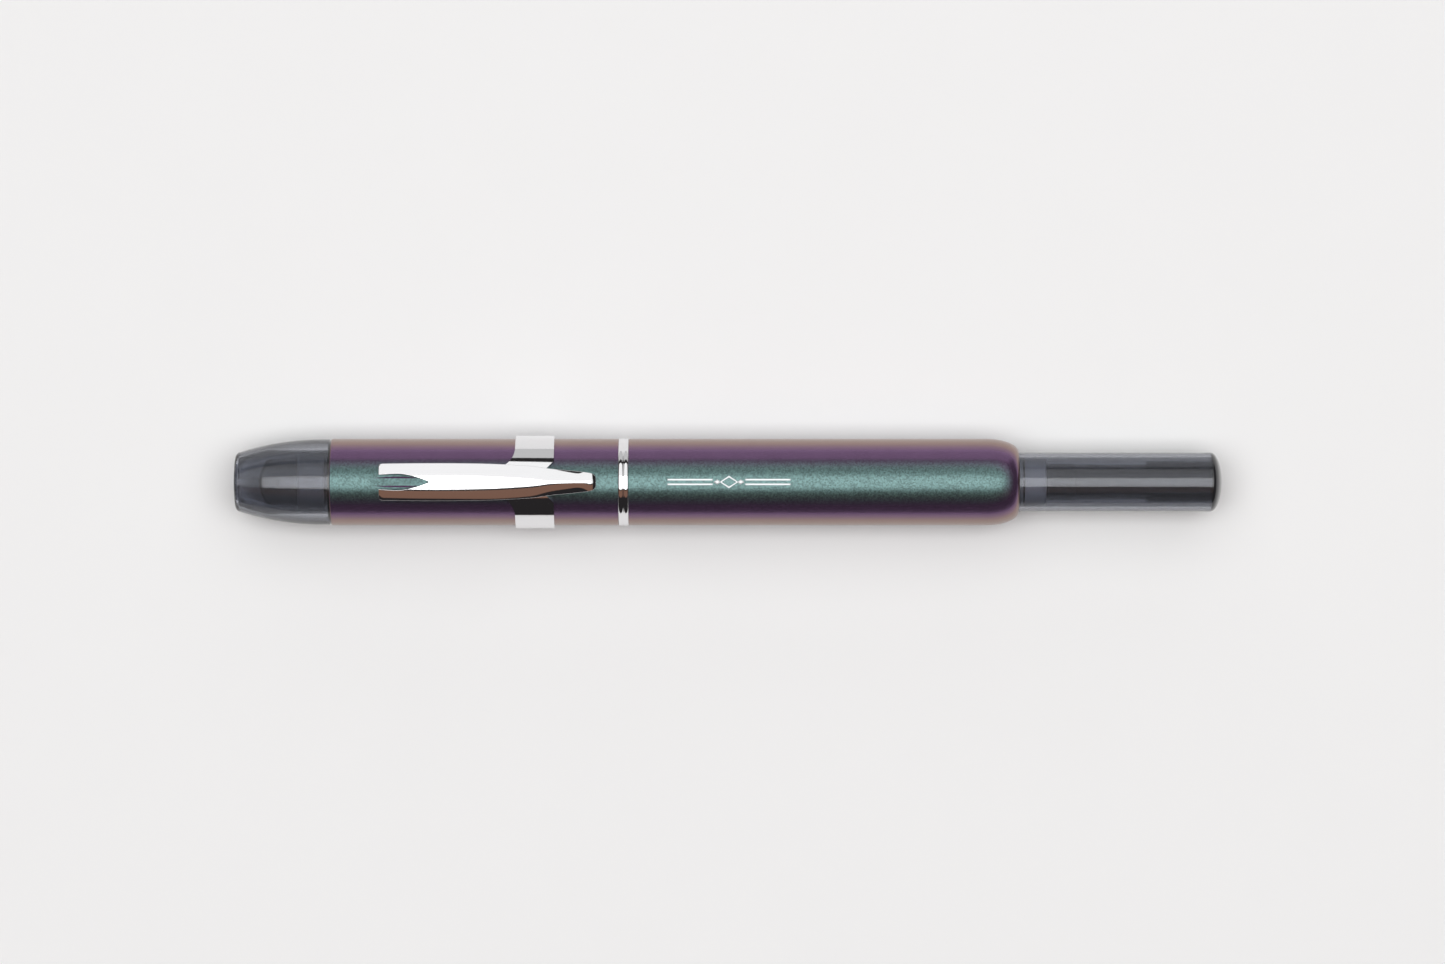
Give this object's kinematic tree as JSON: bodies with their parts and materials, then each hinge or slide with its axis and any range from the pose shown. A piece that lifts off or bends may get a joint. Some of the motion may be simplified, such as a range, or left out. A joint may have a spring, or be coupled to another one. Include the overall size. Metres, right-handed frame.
{
  "type": "retractable fountain pen",
  "caption": "Retractable fountain pen with a shuttered smoke nose, a chrome clip on a springy saddle, a colour-shifting painted barrel and a long transparent knock button.",
  "frame": {"origin": "on the pen's axis where the rear barrel begins, behind the centre band", "axes": "+X along the pen towards the button, nib towards -X, clip on +Z"},
  "size_m": [0.153, 0.0144, 0.0159],
  "materials": {
    "smoke_plastic": "gloss, transparent",
    "barrel_paint": "moulded resin under metallic, colour-shifting paint",
    "chrome": "polished",
    "black_plastic": "gloss",
    "dark_polymer": "satin",
    "grey_polymer": "satin",
    "seal_rubber": "matte",
    "spring_steel": "bright",
    "nib_steel": "polished",
    "brass": "satin",
    "clear_plastic": "gloss, transparent",
    "white_polymer": "matte"
  },
  "bodies": {
    "front": {"front_barrel": "barrel_paint", "nose_cone": "smoke_plastic", "nose_joint_ring": "black_plastic", "shutter_frame": "smoke_plastic", "chamber_collar": "grey_polymer", "nib_chamber": "dark_polymer", "shutter_seal": "seal_rubber", "shutter_pin": "spring_steel", "shutter_spring": "spring_steel", "return_spring": "spring_steel", "clip_saddle": "chrome"},
    "clip": {"clip_blade": "chrome"},
    "shutter": {"shutter_lid": "spring_steel"},
    "nib_unit": {"nib": "nib_steel", "feed": "black_plastic", "nib_housing": "black_plastic", "nib_unit_ring": "seal_rubber", "push_sleeve": "brass", "converter_tube": "clear_plastic", "converter_collar": "chrome"},
    "piston": {"converter_piston": "dark_polymer", "converter_screw": "white_polymer"},
    "converter_knob": {"converter_knob": "black_plastic"},
    "rear": {"rear_barrel": "barrel_paint", "centre_band": "chrome", "cam_sleeve": "grey_polymer"},
    "knob": {"knob_sleeve": "smoke_plastic", "knob_cap": "black_plastic", "knob_core": "black_plastic", "knob_collar": "grey_polymer", "knob_washer": "white_polymer", "plunger": "black_plastic", "cam_rotor": "white_polymer"}
  },
  "joints": [
    {"name": "barrel_pull", "type": "slide", "parent": "front", "child": "rear", "axis": [1, 0, 0], "range_m": [0, 0.065]},
    {"name": "knock_slide", "type": "slide", "parent": "rear", "child": "knob", "axis": [-1, 0, 0], "range_m": [0, 0.02], "stiffness_N_per_m": 160, "springref_m": -0.012, "deforming": ["return_spring"]},
    {"name": "nib_slide", "type": "slide", "parent": "front", "child": "nib_unit", "axis": [-1, 0, 0], "range_m": [0, 0.0201]},
    {"name": "shutter_hinge", "type": "hinge", "parent": "front", "child": "shutter", "pos_m": [-0.05275, 0, -0.0032], "axis": [0, -1, 0], "range_deg": [0, 54.1]},
    {"name": "clip_flex", "type": "hinge", "parent": "front", "child": "clip", "pos_m": [-0.0115, 0, 0.0072], "axis": [0, 1, 0], "range_deg": [0, 4], "stiffness_Nm_per_rad": 0.5, "springref_deg": -5.73},
    {"name": "converter_twist", "type": "hinge", "parent": "nib_unit", "child": "converter_knob", "pos_m": [0.04, 0, 0], "axis": [1, 0, 0], "range_deg": [0, 1441]},
    {"name": "piston_slide", "type": "slide", "parent": "nib_unit", "child": "piston", "axis": [1, 0, 0], "range_m": [0, 0.014]}
  ],
  "couplings": [
    {"joint": "nib_slide", "follows": "knock_slide", "ratio": 1},
    {"joint": "shutter_hinge", "follows": "knock_slide", "rad_per_m": 47.12},
    {"joint": "converter_twist", "follows": "piston_slide", "rad_per_m": 1795.2}
  ]
}
